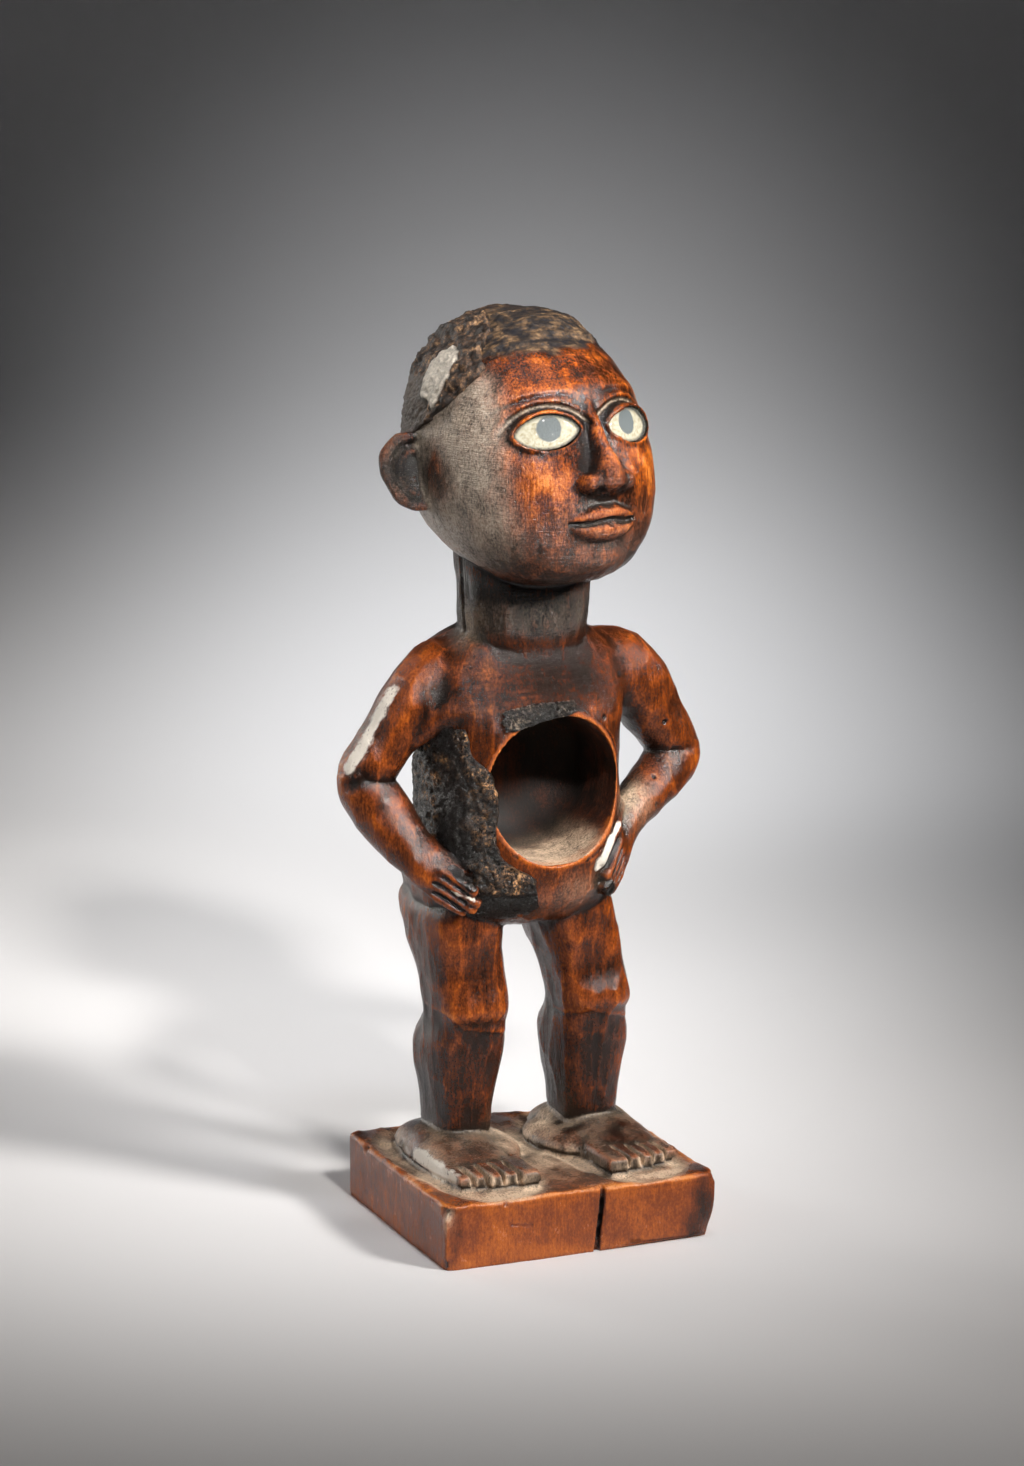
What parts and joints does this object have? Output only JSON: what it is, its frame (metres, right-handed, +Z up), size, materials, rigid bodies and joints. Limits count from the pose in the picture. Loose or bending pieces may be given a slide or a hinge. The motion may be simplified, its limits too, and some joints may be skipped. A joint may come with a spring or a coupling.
{
  "type": "kongo figure",
  "caption": "Standing carved wooden figure on a square base, hands on its hips, with a round hollow in the belly, inlaid glass eyes and crusts of dark resin.",
  "frame": {"origin": "middle of the base's underside", "axes": "+Z up through the figure, the figure faces -Y and its right side is at -X"},
  "size_m": [0.1065, 0.0813, 0.2498],
  "materials": {
    "wood": "oiled, worn red-brown wood",
    "eye_ground": "painted ivory ground",
    "glass": "clear polished glass",
    "resin": "rough blackened resin"
  },
  "bodies": {
    "root": {"figure": "wood", "right_eye_ground": "eye_ground", "left_eye_ground": "eye_ground", "right_eye_glass": "glass", "left_eye_glass": "glass", "head_resin": "resin", "belly_resin": "resin", "chest_resin": "resin"}
  },
  "joints": []
}
